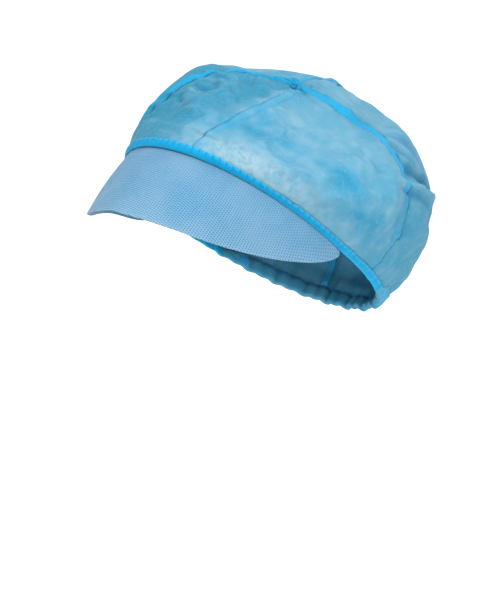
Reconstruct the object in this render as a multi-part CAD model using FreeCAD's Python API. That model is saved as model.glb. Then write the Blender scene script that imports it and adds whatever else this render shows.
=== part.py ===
import FreeCAD, Part
import math
import os

# Peaked hygiene cap, millimetres. +Z up as worn, the peak points to -Y, the wearer's left is +X.
# The origin is the front centre of the rim moved back to the middle of the head.
# Places round the head are angles in degrees from the front (-Y), positive to the wearer's left.

# Head opening (the lower edge of the band and hem)
rimFront = 77.0           # from the origin to the rim at the forehead
rimBack = 90.0            # from the origin to the rim at the nape
rimHalfWidth = 80.0       # from the origin to the rim beside the head
rimDrop = 135.0           # how far the nape lies below the forehead

# Crown
crossX = 9.5              # where the four seams cross: to the wearer's left
crossY = 38.5             # behind the origin
crossZ = 23.5             # above the forehead rim
crossSlopeX = -0.31       # the cloth at the crossing climbs to the wearer's right
crossSlopeY = 0.03        # and to the back
crossOpening = 0.988      # share of a meridian at which the panels stop, just short of the crossing
clothThickness = 0.5
panelGap = 0.3            # between two panels along a seam
widestGap = 8.0           # most that the gap turns a panel's edge, at the crossing
seamAngles = {"front_right": -52.0, "front_left": 13.5, "back_left": 110.0, "back_right": 190.0}

# Turned-in seam edges inside the crown
allowanceWidth = 5.5
allowanceThickness = 0.7
allowanceRise = 1.0       # they start this far above the band and the hem
allowanceEnd = 0.93       # and end at this share of a meridian
taperShare = 0.25         # share of a meridian over which they narrow, up to the crossing
layerGap = 0.25           # clearance between two layers of cloth

# Band round the front, and the hem round the back
bandHeight = 6.0
bandWall = 0.6
bandFloor = 0.8
bandSlot = 1.2            # room inside the band for the crown's edge
bandCatch = 2.0           # how much of the crown's edge the band holds
bandHalfSpan = 124.0      # the band runs this far round on each side
footBlend = 6.0           # turn over which the crown's edge climbs from the band to the hem
endGap = 0.3              # turn between the band's end and the hem's
hemHeight = 10.0
hemWall = 0.6
hemSlot = 2.8             # room inside the hem for the elastic

# Nape elastic
elasticWidth = 5.0
elasticThickness = 1.0
elasticGap = 0.6          # above and below the elastic, inside the hem
elasticInset = 6.5        # turn from the band's end to the elastic's
tackLength = 5.0
tackThickness = 0.6

# Peak
peakHalfSpan = 90.0       # the peak's corners lie this far round on each side
peakDepth = 60.0          # from the seam to the free edge, at the front
peakTilt = 31.0           # slope below level at the front
peakTiltGain = 63.0       # extra slope at the corners
peakThickness = 0.9
peakBow = 2.0             # how far the peak bows outward between seam and free edge
peakClearance = 0.5       # below the band
peakCornerDepth = 3.0     # what is left of the depth at the corners
peakFullness = 0.82       # below 1 the free edge is fuller than a cosine
rootStart = 0.3           # the peak's sewn edge starts this far above the rim
rootHeight = 5.0          # and ends here, inside the band

# Thread
threadDiameter = 0.4
bandStitchPitch = 5.0
seamStitchPitch = 6.0
stitchShare = 0.62        # share of the pitch that shows as thread
stitchInset = 1.5         # from the upper edge of the band or hem to the row
stitchEnd = 1.5           # turn left free of stitches at each end of the band and hem
rootMargin = 1.0          # turn by which the peak's sewn edge stops short of its corners
rootStitchEnd = 3.0       # turn by which its stitches stop short
seamStitchEnd = 0.03      # share of a meridian left free of stitches at the upper end of a seam

# Fineness: sections and points along each surface
panelColumns = 19
panelRows = 15
rowCrowding = 1.5         # above 1 the rows crowd towards the crossing
allowanceRows = 12
bandSections = 41
hemSections = 31
tackSections = 5
rootSections = 31
peakColumns = 33
peakRows = 8
threadSteps = 600
smallTurn = 0.5           # steps used to find directions and lengths on the surfaces
smallShare = 0.01
heightStep = 0.004


def vector(x, y, z):
    return FreeCAD.Vector(x, y, z)


def wave(constant, cosine, sine, cosineTwice, sineTwice):
    """A size that changes smoothly round the head."""
    def value(angle):
        turn = math.radians(angle)
        return (constant + cosine * math.cos(turn) + sine * math.sin(turn)
                + cosineTwice * math.cos(2 * turn) + sineTwice * math.sin(2 * turn))
    return value


# Handles of the crown's meridians: each is a quartic curve from the rim to the crossing
flare = wave(16.5, -13.0, 10.5, -0.5, 0.0)      # outward, from the rim
rise = wave(23.0, -1.5, -5.5, -8.0, 5.5)        # upward, from the rim
shoulder = wave(103.5, -50.5, -0.5, -8.5, 2.0)  # outward, from the crossing
swell = wave(-5.0, 10.0, -28.5, -3.0, 0.5)      # upward, from the crossing
reach = wave(32.5, 7.0, -13.5, 8.0, 1.0)        # along the cloth, from the crossing


def outward(angle):
    turn = math.radians(angle)
    return vector(math.sin(turn), -math.cos(turn), 0)


def rimPoint(angle):
    turn = math.radians(angle)
    length = rimFront if math.cos(turn) > 0 else rimBack
    fall = rimDrop * (1 - math.cos(turn)) / 2
    return vector(rimHalfWidth * math.sin(turn), -length * math.cos(turn), -fall)


def crownPoint(angle, share):
    """A point on the crown's middle surface; share is 0 at the rim and 1 at the crossing."""
    rim = rimPoint(angle)
    cross = vector(crossX, crossY, crossZ)
    side = outward(angle)
    climb = crossSlopeX * side.x + crossSlopeY * side.y
    low = rim + side * flare(angle) + vector(0, 0, rise(angle))
    middle = cross + side * shoulder(angle) + vector(0, 0, swell(angle))
    high = cross + (side + vector(0, 0, climb)) * reach(angle)
    rest = 1 - share
    return (rim * rest ** 4 + low * (4 * rest ** 3 * share) + middle * (6 * rest ** 2 * share ** 2)
            + high * (4 * rest * share ** 3) + cross * share ** 4)


def crownNormal(angle, share):
    """The crown's outward normal."""
    upper = min(share + smallShare, 1 - smallShare)
    along = crownPoint(angle + smallTurn, share) - crownPoint(angle - smallTurn, share)
    up = crownPoint(angle, upper) - crownPoint(angle, upper - smallShare)
    normal = along.cross(up)
    return normal.normalize()


def shareAtHeight(angle, height):
    """The share of a meridian that lies height above the rim, measured along the cloth."""
    if height <= 0:
        return 0.0
    travelled = 0.0
    share = 0.0
    last = crownPoint(angle, 0)
    while travelled < height:
        share += heightStep
        point = crownPoint(angle, share)
        stretch = (point - last).Length
        travelled += stretch
        last = point
    return share - heightStep * (travelled - height) / stretch


def spread(first, last, count):
    return [first + (last - first) * i / (count - 1) for i in range(count)]


def smoothCurve(points):
    curve = Part.BSplineCurve()
    curve.interpolate(points)
    return curve.toShape()


def closedSolid(faces):
    shell = Part.Shell(faces)
    shell.sewShape()
    solid = Part.Solid(shell)
    if solid.Volume < 0:
        solid.reverse()
    return solid


def faceBetween(first, second):
    """The ruled face between two edges that run the same way."""
    sameWay = 1
    return Part.makeRuledSurface(first, second, sameWay)


def sheetSolid(outerGrid, innerGrid):
    """A closed sheet between two grids of points."""
    surfaces = []
    for grid in (outerGrid, innerGrid):
        surface = Part.BSplineSurface()
        surface.interpolate(grid)
        surfaces.append(surface)
    faces = [surface.toShape() for surface in surfaces]
    outer, inner = surfaces
    low, high, left, right = outer.bounds()
    for place in (low, high):
        faces.append(faceBetween(outer.uIso(place).toShape(), inner.uIso(place).toShape()))
    for place in (left, right):
        faces.append(faceBetween(outer.vIso(place).toShape(), inner.vIso(place).toShape()))
    return closedSolid(faces)


def sectionSolid(sections):
    """A strip whose cross-section is a polygon that changes along its length."""
    corners = len(sections[0])
    curves = [smoothCurve([section[i] for section in sections]) for i in range(corners)]
    faces = [faceBetween(curves[i], curves[(i + 1) % corners]) for i in range(corners)]
    for section in (sections[0], sections[-1]):
        faces.append(Part.Face(Part.makePolygon(section + [section[0]])))
    return closedSolid(faces)


# Crown

def sideways(angle):
    """How far round from the front, on either side."""
    return abs((angle + 180) % 360 - 180)


def crownFoot(angle):
    """How far above the rim the crown's cloth ends, inside the band or above the elastic."""
    blend = min(max((sideways(angle) - bandHalfSpan + footBlend) / (2 * footBlend), 0), 1)
    inBand = bandHeight - bandCatch
    inHem = bandFloor + elasticWidth + 2 * elasticGap
    return inBand + (inHem - inBand) * blend * blend * (3 - 2 * blend)


def degreesFor(width, angle, share):
    """The turn that moves a crown point this far sideways along the cloth."""
    length = (crownPoint(angle + smallTurn, share) - crownPoint(angle - smallTurn, share)).Length
    return width * 2 * smallTurn / length


def crownPanel(first, last):
    """One panel between two seams, whose lower edge sits in the band and in the hem."""
    grids = {1: [], -1: []}
    for part in spread(0, 1, panelColumns):
        angle = first + (last - first) * part
        low = shareAtHeight(angle, crownFoot(angle))
        columns = {1: [], -1: []}
        for share in crownRows(low):
            start = first + min(degreesFor(panelGap / 2, first, share), widestGap)
            end = last - min(degreesFor(panelGap / 2, last, share), widestGap)
            place = start + (end - start) * part
            for side, column in columns.items():
                offset = crownNormal(place, share) * (side * clothThickness / 2)
                column.append(crownPoint(place, share) + offset)
        for side, column in columns.items():
            grids[side].append(column)
    return sheetSolid(grids[1], grids[-1])


def crownRows(low):
    """Shares of a meridian from the foot to the crossing, closer together at the crossing."""
    climbs = [1 - (1 - k) ** rowCrowding for k in spread(0, 1, panelRows)]
    return [low + (crossOpening - low) * climb for climb in climbs]


def underCrown(angle, share, width, depth):
    """A point inside the crown, width beside the seam and depth below the cloth's middle."""
    turned = angle + degreesFor(width, angle, share)
    return crownPoint(turned, share) - crownNormal(turned, share) * depth


def allowanceFoot(angle):
    return shareAtHeight(angle, max(bandHeight, hemHeight) + allowanceRise)


def allowanceTaper(share):
    """The turned-in edges narrow towards the crossing."""
    return min(1.0, (1 - share) / taperShare)


def seamAllowance(angle, side):
    """The turned-in edge of a seam, pressed flat against the panel beside it."""
    top = clothThickness / 2 + layerGap
    grids = []
    for depth in (top, top + allowanceThickness):
        grid = []
        for share in spread(allowanceFoot(angle), allowanceEnd, allowanceRows):
            width = allowanceWidth * allowanceTaper(share)
            places = [side * (panelGap + width * k) for k in (0, 0.5, 1)]
            grid.append([underCrown(angle, share, place, depth) for place in places])
        grids.append(grid)
    return sheetSolid(grids[0], grids[1])


def threadAlong(pointAt, first, last, pitch):
    """A row of straight stitches along a curve; each stitch is a solid of its own."""
    places = [first]
    travelled = 0.0
    lastPoint = pointAt(first)
    for number in spread(first, last, threadSteps)[1:]:
        point = pointAt(number)
        travelled += (point - lastPoint).Length
        lastPoint = point
        if travelled >= pitch:
            places.append(number)
            travelled -= pitch
    stitches = []
    for here, there in zip(places, places[1:]):
        start = pointAt(here)
        length = (pointAt(there) - start) * stitchShare
        stitches.append(Part.makeCylinder(threadDiameter / 2, length.Length, start, length))
    return Part.makeCompound(stitches)


def seamThread(angle, side):
    """The stitches that hold a turned-in edge, on its inner face."""
    depth = clothThickness / 2 + allowanceThickness + 2 * layerGap + threadDiameter / 2

    def pointAt(share):
        middle = panelGap + allowanceWidth * allowanceTaper(share) / 2
        return underCrown(angle, share, side * middle, depth)

    return threadAlong(pointAt, allowanceFoot(angle), allowanceEnd - seamStitchEnd, seamStitchPitch)


# Band, hem and elastic

def rimFrame(angle):
    """The rim point, the way up along the cloth and the way out of it, in one section plane."""
    base = crownPoint(angle, 0)
    up = crownPoint(angle, shareAtHeight(angle, bandHeight)) - base
    up.normalize()
    normal = crownNormal(angle, 0)
    across = normal - up * normal.dot(up)
    across.normalize()
    return base, up, across


def besideCloth(angle, places):
    """Points of a section, each given as a depth outside the cloth and a height above the rim."""
    base, up, across = rimFrame(angle)
    points = []
    for depth, height in places:
        cloth = crownPoint(angle, shareAtHeight(angle, height)) - base if height > 0 else up * 0
        points.append(base + across * (cloth.dot(across) + depth) + up * cloth.dot(up))
    return points


def stripSolid(first, last, count, places):
    return sectionSolid([besideCloth(angle, places) for angle in spread(first, last, count)])


def channel(height, slot, wall):
    """Section of a folded strip, open at the top, with a slot for what it holds."""
    inner = slot / 2
    outer = inner + wall
    middle = height / 2
    return [(-outer, 0), (outer, 0), (outer, middle), (outer, height), (inner, height), (inner, middle),
            (inner, bandFloor), (-inner, bandFloor), (-inner, middle), (-inner, height),
            (-outer, height), (-outer, middle)]


def flat(low, high, inside, outside):
    """Section of a flat strip between two heights above the rim and two depths."""
    middle = (low + high) / 2
    return [(inside, low), (outside, low), (outside, middle), (outside, high),
            (inside, high), (inside, middle)]


def frontBand():
    section = channel(bandHeight, bandSlot, bandWall)
    return stripSolid(-bandHalfSpan, bandHalfSpan, bandSections, section)


def backHem():
    first = bandHalfSpan + endGap
    section = channel(hemHeight, hemSlot, hemWall)
    return stripSolid(first, 360 - first, hemSections, section)


def napeElastic():
    first = bandHalfSpan + elasticInset
    low = bandFloor + elasticGap
    section = flat(low, low + elasticWidth, -elasticThickness / 2, elasticThickness / 2)
    return stripSolid(first, 360 - first, hemSections, section)


def elasticTack(side):
    """Bar tack over the hem where the elastic's end is caught, on the inner face."""
    middle = side * (bandHalfSpan + elasticInset + tackLength / 2)
    halfAngle = math.degrees(tackLength / 2 / rimBack)
    surface = -(hemSlot / 2 + hemWall + 2 * layerGap)
    section = flat(bandFloor, bandFloor + elasticWidth, surface - tackThickness, surface)
    return stripSolid(middle - halfAngle, middle + halfAngle, tackSections, section)


def rowOnStrip(first, last, height, depth):
    def pointAt(angle):
        return besideCloth(angle, [(depth, height)])[0]

    return threadAlong(pointAt, first, last, bandStitchPitch)


def bandStitching():
    depth = bandSlot / 2 + bandWall + layerGap + threadDiameter / 2
    edge = bandHalfSpan - stitchEnd
    return rowOnStrip(-edge, edge, bandHeight - stitchInset, depth)


def hemStitching():
    depth = hemSlot / 2 + hemWall + layerGap + threadDiameter / 2
    first = bandHalfSpan + endGap + stitchEnd
    return rowOnStrip(first, 360 - first, hemHeight - stitchInset, depth)


# Peak

def peakRoot():
    """The peak's own edge, turned up and sewn inside the band."""
    near = -(bandSlot / 2 + bandWall + layerGap)
    edge = peakHalfSpan - rootMargin
    section = flat(rootStart, rootHeight, near - peakThickness, near)
    return stripSolid(-edge, edge, rootSections, section)


def peakStitching():
    """The row that sews the peak's edge to the band, on its inner face."""
    depth = -(bandSlot / 2 + bandWall + 2 * layerGap + peakThickness + threadDiameter / 2)
    edge = peakHalfSpan - rootStitchEnd
    return rowOnStrip(-edge, edge, rootHeight / 2, depth)


def peakPoint(angle, share):
    """A point on the peak's middle surface; share is 0 at the seam and 1 at the free edge."""
    along = angle / peakHalfSpan
    bell = max(math.cos(along * math.pi / 2), 0)
    depth = peakCornerDepth + (peakDepth - peakCornerDepth) * bell ** peakFullness
    tilt = math.radians(peakTilt + peakTiltGain * along ** 2)
    down = vector(0, -math.cos(tilt), -math.sin(tilt))
    side = outward(angle)
    normal = side - down * side.dot(down)
    normal.normalize()
    bow = peakBow * math.sin(math.pi * share) * bell
    root = rimPoint(angle) - vector(0, 0, peakClearance + peakThickness / 2)
    return root + down * (depth * share) + normal * bow


def peakNormal(angle, share):
    along = peakPoint(angle + smallTurn, share) - peakPoint(angle - smallTurn, share)
    down = peakPoint(angle, share + smallShare) - peakPoint(angle, share - smallShare)
    normal = down.cross(along)
    return normal.normalize()


def peakSheet():
    grids = []
    for side in (1, -1):
        offset = side * peakThickness / 2
        grid = []
        for angle in spread(-peakHalfSpan, peakHalfSpan, peakColumns):
            shares = spread(0, 1, peakRows)
            grid.append([peakPoint(angle, k) + peakNormal(angle, k) * offset for k in shares])
        grids.append(grid)
    return sheetSolid(grids[0], grids[1])


def export(shape, name):
    if not shape.isValid():
        print("not valid:", name)
    print(name, len(shape.Solids), "solids, volume", round(shape.Volume, 1))
    shape.exportStep("parts/" + name + ".step")


def main():
    os.makedirs("parts", exist_ok=True)
    seams = seamAngles
    panels = {"crown_front_panel": (seams["front_right"], seams["front_left"]),
              "crown_left_panel": (seams["front_left"], seams["back_left"]),
              "crown_back_panel": (seams["back_left"], seams["back_right"]),
              "crown_right_panel": (seams["back_right"], seams["front_right"] + 360)}
    for name, (first, last) in panels.items():
        export(crownPanel(first, last), name)
    # each seam is pressed towards the panel on its outer side
    sides = {"front_right": -1, "front_left": 1, "back_left": -1, "back_right": 1}
    for name, angle in seams.items():
        export(seamAllowance(angle, sides[name]), "seam_allowance_" + name)
        export(seamThread(angle, sides[name]), "seam_thread_" + name)
    export(frontBand(), "front_band")
    export(bandStitching(), "band_stitching")
    export(backHem(), "back_hem")
    export(hemStitching(), "hem_stitching")
    export(napeElastic(), "nape_elastic")
    for name, side in (("left", 1), ("right", -1)):
        export(elasticTack(side), "elastic_tack_" + name)
    export(peakRoot(), "peak_sewn_edge")
    export(peakStitching(), "peak_stitching")
    export(peakSheet(), "peak")


main()
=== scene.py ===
import bmesh
import bpy
import math
import numpy as np
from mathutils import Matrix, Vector


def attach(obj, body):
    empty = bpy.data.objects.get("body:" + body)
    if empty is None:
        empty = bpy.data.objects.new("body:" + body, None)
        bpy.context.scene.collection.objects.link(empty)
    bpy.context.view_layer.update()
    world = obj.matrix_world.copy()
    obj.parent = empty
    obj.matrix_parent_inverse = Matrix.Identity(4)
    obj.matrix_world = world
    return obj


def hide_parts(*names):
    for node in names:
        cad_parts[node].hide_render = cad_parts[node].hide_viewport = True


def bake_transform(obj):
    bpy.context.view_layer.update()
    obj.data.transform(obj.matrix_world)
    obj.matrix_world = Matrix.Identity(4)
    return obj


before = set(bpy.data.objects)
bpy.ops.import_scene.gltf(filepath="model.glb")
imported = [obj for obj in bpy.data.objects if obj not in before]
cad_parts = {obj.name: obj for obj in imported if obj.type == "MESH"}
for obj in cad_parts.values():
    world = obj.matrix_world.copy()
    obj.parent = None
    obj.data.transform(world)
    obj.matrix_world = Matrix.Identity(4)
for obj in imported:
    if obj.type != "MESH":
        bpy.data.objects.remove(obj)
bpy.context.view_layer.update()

# A soft peaked cap of thin bonded cloth, in metres. Turns go round the head from the front, positive to the
# wearer's left, and heights run up the cloth from the rim.
mm = 0.001
fullTurn = 2 * math.pi


def smooth(low, high, value):
    x = np.clip((value - low) / (high - low), 0, 1)
    return x * x * (3 - 2 * x)


def ripple(place, seed, length):
    # smooth uneven waves, the same each run
    total = 0.0
    for i, (pace, weight) in enumerate(((1.0, 0.5), (1.7, 0.3), (2.9, 0.2), (0.43, 0.4))):
        total = total + np.sin(place / length * fullTurn * pace + seed * (1.3 + i) + i * i) * weight
    return total


def wrapped(angle, whole):
    # the same angle, from minus half of a whole turn to plus half
    return (angle + whole / 2) % whole - whole / 2


def unit(vectors):
    return vectors / np.maximum(np.linalg.norm(vectors, axis=-1, keepdims=True), 1e-12)


def gridNormals(points, closed=True):
    along = np.roll(points, -1, 0) - np.roll(points, 1, 0) if closed else np.gradient(points, axis=0)
    return unit(np.cross(along, np.gradient(points, axis=1)))


def gridFaces(columns, rows, closed=False):
    faces = []
    for i in range(columns if closed else columns - 1):
        j = (i + 1) % columns
        for k in range(rows - 1):
            faces.append((i * rows + k, j * rows + k, j * rows + k + 1, i * rows + k + 1))
    return faces


def addTube(vertices, faces, rings):
    # a closed tube through rings of equally many points
    first, sides = len(vertices), len(rings[0])
    last = first + (len(rings) - 1) * sides
    for ring in rings:
        vertices += list(ring)
    for start in range(first, last, sides):
        for side in range(sides):
            a, b = start + side, start + (side + 1) % sides
            faces.append((a, b, b + sides, a + sides))
    faces.append(tuple(range(first, first + sides))[::-1])
    faces.append(tuple(range(last, last + sides)))


def newPiece(name, vertices, faces, material, uv=None, masks=None):
    mesh = bpy.data.meshes.new(name)
    mesh.from_pydata(np.asarray(vertices).tolist(), [], faces)
    mesh.update()
    mesh.polygons.foreach_set("use_smooth", [True] * len(mesh.polygons))
    if uv is not None:
        loops = np.empty(len(mesh.loops), dtype=np.int32)
        mesh.loops.foreach_get("vertex_index", loops)
        layer = mesh.uv_layers.new(name="cloth")
        layer.data.foreach_set("uv", np.asarray(uv, dtype=np.float32)[loops].ravel())
    for key, values in (masks or {}).items():
        attribute = mesh.attributes.new(name=key, type="FLOAT", domain="POINT")
        attribute.data.foreach_set("value", np.asarray(values, dtype=np.float32).ravel())
    mesh.materials.append(material)
    piece = bpy.data.objects.new(name, mesh)
    bpy.context.scene.collection.objects.link(piece)
    return piece


def applyModifiers(piece):
    graph = bpy.context.evaluated_depsgraph_get()
    mesh = bpy.data.meshes.new_from_object(piece.evaluated_get(graph), depsgraph=graph)
    piece.modifiers.clear()
    old = piece.data
    piece.data = mesh
    bpy.data.meshes.remove(old)


def thicken(piece, thickness):
    thick = piece.modifiers.new("thickness", "SOLIDIFY")
    thick.thickness = thickness
    thick.offset = 0


def mount(piece, node):
    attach(piece, "crown")
    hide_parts(node)


print("stage: materials")


class Signal:
    # a shader socket that can be used in sums
    def __init__(self, paint, socket):
        self.paint = paint
        self.socket = socket

    def combine(self, operation, first, second, clamp=False):
        settings = {"operation": operation, "use_clamp": clamp}
        return self.paint.node("ShaderNodeMath", settings, {0: first, 1: second})

    def __add__(self, other):
        return self.combine("ADD", self, other)

    def __radd__(self, other):
        return self.combine("ADD", other, self)

    def __sub__(self, other):
        return self.combine("SUBTRACT", self, other)

    def __rsub__(self, other):
        return self.combine("SUBTRACT", other, self)

    def __mul__(self, other):
        return self.combine("MULTIPLY", self, other)

    def __rmul__(self, other):
        return self.combine("MULTIPLY", other, self)

    def __truediv__(self, other):
        return self.combine("DIVIDE", self, other)

    def __rtruediv__(self, other):
        return self.combine("DIVIDE", other, self)

    def clamped(self):
        return self.combine("ADD", self, 0.0, clamp=True)


class Paint:
    # a material whose nodes are added one by one
    def __init__(self, name, roughness=0.7, sheen=0.0):
        self.material = bpy.data.materials.new(name)
        self.material.use_nodes = True
        self.tree = self.material.node_tree
        self.shader = self.tree.nodes["Principled BSDF"]
        self.output = self.tree.nodes["Material Output"]
        self.shader.inputs["Roughness"].default_value = roughness
        self.shader.inputs["Specular IOR Level"].default_value = 0.14
        self.shader.inputs["Sheen Weight"].default_value = sheen
        self.shader.inputs["Sheen Roughness"].default_value = 0.5

    def node(self, kind, settings=None, inputs=None, output=0):
        node = self.tree.nodes.new(kind)
        for key, value in (settings or {}).items():
            setattr(node, key, value)
        for key, value in (inputs or {}).items():
            socket = node.inputs[key]
            if isinstance(value, Signal):
                self.tree.links.new(value.socket, socket)
            else:
                socket.default_value = value
        return Signal(self, node.outputs[output])

    def mix(self, share, first, second):
        colours = [c if isinstance(c, Signal) else (*c, 1) for c in (first, second)]
        settings = {"data_type": "RGBA", "blend_type": "MIX", "clamp_factor": True}
        return self.node("ShaderNodeMix", settings, {0: share, 6: colours[0], 7: colours[1]}, output=2)

    def math(self, operation, value):
        return self.node("ShaderNodeMath", {"operation": operation}, {0: value})

    def mask(self, name):
        return self.node("ShaderNodeAttribute", {"attribute_name": name}, output="Fac")

    def objectPlace(self):
        return self.node("ShaderNodeTexCoord", output="Object")

    def clothPlace(self):
        return self.node("ShaderNodeUVMap", {"uv_map": "cloth"})

    def cloud(self, place, scale, detail=2.0, roughness=0.5, distortion=0.0):
        inputs = {"Vector": place, "Scale": scale, "Detail": detail, "Roughness": roughness,
                  "Distortion": distortion}
        return self.node("ShaderNodeTexNoise", {"noise_dimensions": "3D"}, inputs)

    def streaks(self, place, scale, detail=3, roughness=0.65, distortion=0.8):
        # a cloud drawn out into fibres
        scaled = self.node("ShaderNodeMapping", {"vector_type": "POINT"}, {"Vector": place, "Scale": scale})
        return self.cloud(scaled, 1.0, detail, roughness, distortion)

    def between(self, value, low, high):
        inputs = {"Value": value, "From Min": low, "From Max": high}
        return self.node("ShaderNodeMapRange", {"interpolation_type": "SMOOTHSTEP"}, inputs)

    def axes(self, place):
        split = self.node("ShaderNodeSeparateXYZ", None, {0: place}).socket.node
        return Signal(self, split.outputs[0]), Signal(self, split.outputs[1])

    def bump(self, height, distance, strength):
        inputs = {"Height": height, "Distance": distance, "Strength": strength}
        self.tree.links.new(self.node("ShaderNodeBump", None, inputs).socket, self.shader.inputs["Normal"])

    def colour(self, value):
        self.tree.links.new(value.socket, self.shader.inputs["Base Color"])

    def rough(self, value):
        self.tree.links.new(value.socket, self.shader.inputs["Roughness"])

    def letLightThrough(self, colour, share):
        # light that comes through the thin cloth from behind
        through = self.node("ShaderNodeBsdfTranslucent", None, {"Color": (*colour, 1)})
        front = Signal(self, self.shader.outputs[0])
        blend = self.node("ShaderNodeMixShader", None, {0: share, 1: front, 2: through})
        self.tree.links.new(blend.socket, self.output.inputs["Surface"])


crownColours = {
    "plain": (0.072, 0.236, 0.336),
    "hollowShade": (0.019, 0.174, 0.270),         # painted shade, where there is nothing close behind the cloth
    "deep": (0.006, 0.185, 0.315),
    "pale": (0.155, 0.290, 0.365),
    "double": (0.000, 0.250, 0.445),
    "line": (0.000, 0.110, 0.250),
    "skin": (0.245, 0.345, 0.388),
    "through": (0.08, 0.38, 0.55),
    "throughShare": 0.22,
    "fluff": (0.20, 0.34, 0.42),
    "bond": (0.010, 0.120, 0.215),
    "bondPitch": 1.1 * mm,
}


def crownCloth():
    paint = Paint("crownCloth", roughness=0.72, sheen=0.05)
    place = paint.objectPlace()
    cloth = paint.clothPlace()
    blotch = paint.between(paint.cloud(place, 30, 4, 0.6, 0.6), 0.44, 0.72)
    haze = paint.between(paint.cloud(place, 60, 5, 0.62, 0.3), 0.40, 0.72)
    mottle = paint.cloud(place, 210, 5, 0.7, 0.5)
    fluff = (paint.streaks(cloth, (900, 260, 1)) + paint.streaks(cloth, (240, 800, 1))) * 0.5
    # bond points of the cloth
    u, v = paint.axes(cloth)
    pace = fullTurn / crownColours["bondPitch"]
    dots = paint.between(paint.math("SINE", u * pace) * paint.math("SINE", v * pace), 0.35, 0.9)
    # painted shade where the cloth stands away from the head; the paler haze is weaker there too
    base = paint.mix(paint.mask("hollowShade"), crownColours["plain"], crownColours["hollowShade"])
    stain = paint.mask("stain") * (0.35 + mottle * 1.3)
    base = paint.mix((blotch * 0.38 + stain).clamped(), base, crownColours["deep"])
    paleShare = haze * (0.72 - paint.mask("hollowShade") * 0.50) * (1 - paint.mask("stain"))
    base = paint.mix(paleShare.clamped(), base, crownColours["pale"])
    base = paint.mix(paint.between(fluff, 0.50, 0.66) * 0.30, base, crownColours["fluff"])
    base = paint.mix(dots * 0.30, base, crownColours["bond"])
    patches = paint.between(paint.cloud(place, 150, 6, 0.72, 0.4), 0.38, 0.60)
    skinPatch = (paint.mask("skin") * (0.25 + patches * 0.75) * (0.35 + mottle * 1.1)).clamped()
    base = paint.mix(skinPatch, base, crownColours["skin"])
    # painted highlight along the ridges of the folds
    base = paint.mix(paint.mask("crestHighlight") * 0.45, base, crownColours["pale"])
    double = paint.mask("double") * (0.72 + fluff * 0.35)
    base = paint.mix(double.clamped(), base, crownColours["double"])
    # dark seam lines and strip edges, with painted shade in the fold valleys
    base = paint.mix((paint.mask("line") * (0.35 + mottle * 0.9)).clamped(), base, crownColours["line"])
    paint.colour(base)
    paint.rough(0.62 + fluff * 0.22)
    paint.bump(fluff * 0.7 - dots * 0.5, 0.18 * mm, 0.8)
    paint.letLightThrough(crownColours["through"], crownColours["throughShare"])
    return paint.material


thread = {"radius": 0.2 * mm, "pitch": 5 * mm, "share": 0.62, "colour": (0.002, 0.185, 0.38)}
bandColours = {
    "plain": (0.000, 0.230, 0.428),
    "edge": (0.022, 0.295, 0.460),
    "stitchDimpleShade": (0.000, 0.155, 0.325),
    "through": (0.01, 0.24, 0.50),
    "throughShare": 0.12,
    "worn": (0.003, 0.115, 0.285),
    "fibre": (0.06, 0.28, 0.42),
}


def bandCloth():
    paint = Paint("bandCloth", roughness=0.65)
    place = paint.objectPlace()
    cloth = paint.clothPlace()
    fibres = paint.streaks(cloth, (1400, 500, 1))
    wear = paint.between(paint.cloud(place, 260, 4, 0.6, 0.5), 0.45, 0.68)
    edge = paint.mask("edge") * (0.45 + paint.cloud(place, 700, 3, 0.6, 0.4))
    base = paint.mix(wear * 0.35, bandColours["plain"], bandColours["worn"])
    base = paint.mix(edge.clamped(), base, bandColours["edge"])
    # painted shade in the dimple where each stitch goes in
    u, v = paint.axes(cloth)
    beat = paint.math("COSINE", u * (fullTurn / thread["pitch"]))
    stitchDimpleShade = paint.between(beat, 0.55, 0.98) * paint.between(v, 2.2 * mm, 3.4 * mm)
    base = paint.mix(stitchDimpleShade * 0.75, base, bandColours["stitchDimpleShade"])
    paint.colour(paint.mix(paint.between(fibres, 0.52, 0.70) * 0.15, base, bandColours["fibre"]))
    paint.rough(0.58 + fibres * 0.2)
    paint.bump(fibres, 0.22 * mm, 0.8)
    paint.letLightThrough(bandColours["through"], bandColours["throughShare"])
    return paint.material


peakColours = {
    "plain": (0.112, 0.226, 0.330),
    "pale": (0.172, 0.288, 0.375),
    "dash": (0.012, 0.110, 0.225),
    "deep": (0.055, 0.196, 0.325),
    "pitchAcross": 1.70 * mm,
    "pitchAlong": 1.50 * mm,
    "dashLength": 0.64,          # share of the pitch
    "dashWidth": 0.40,
    "fleck": (0.30, 0.42, 0.48),
    "through": (0.10, 0.28, 0.42),
    "throughShare": 0.12,
}


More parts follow.
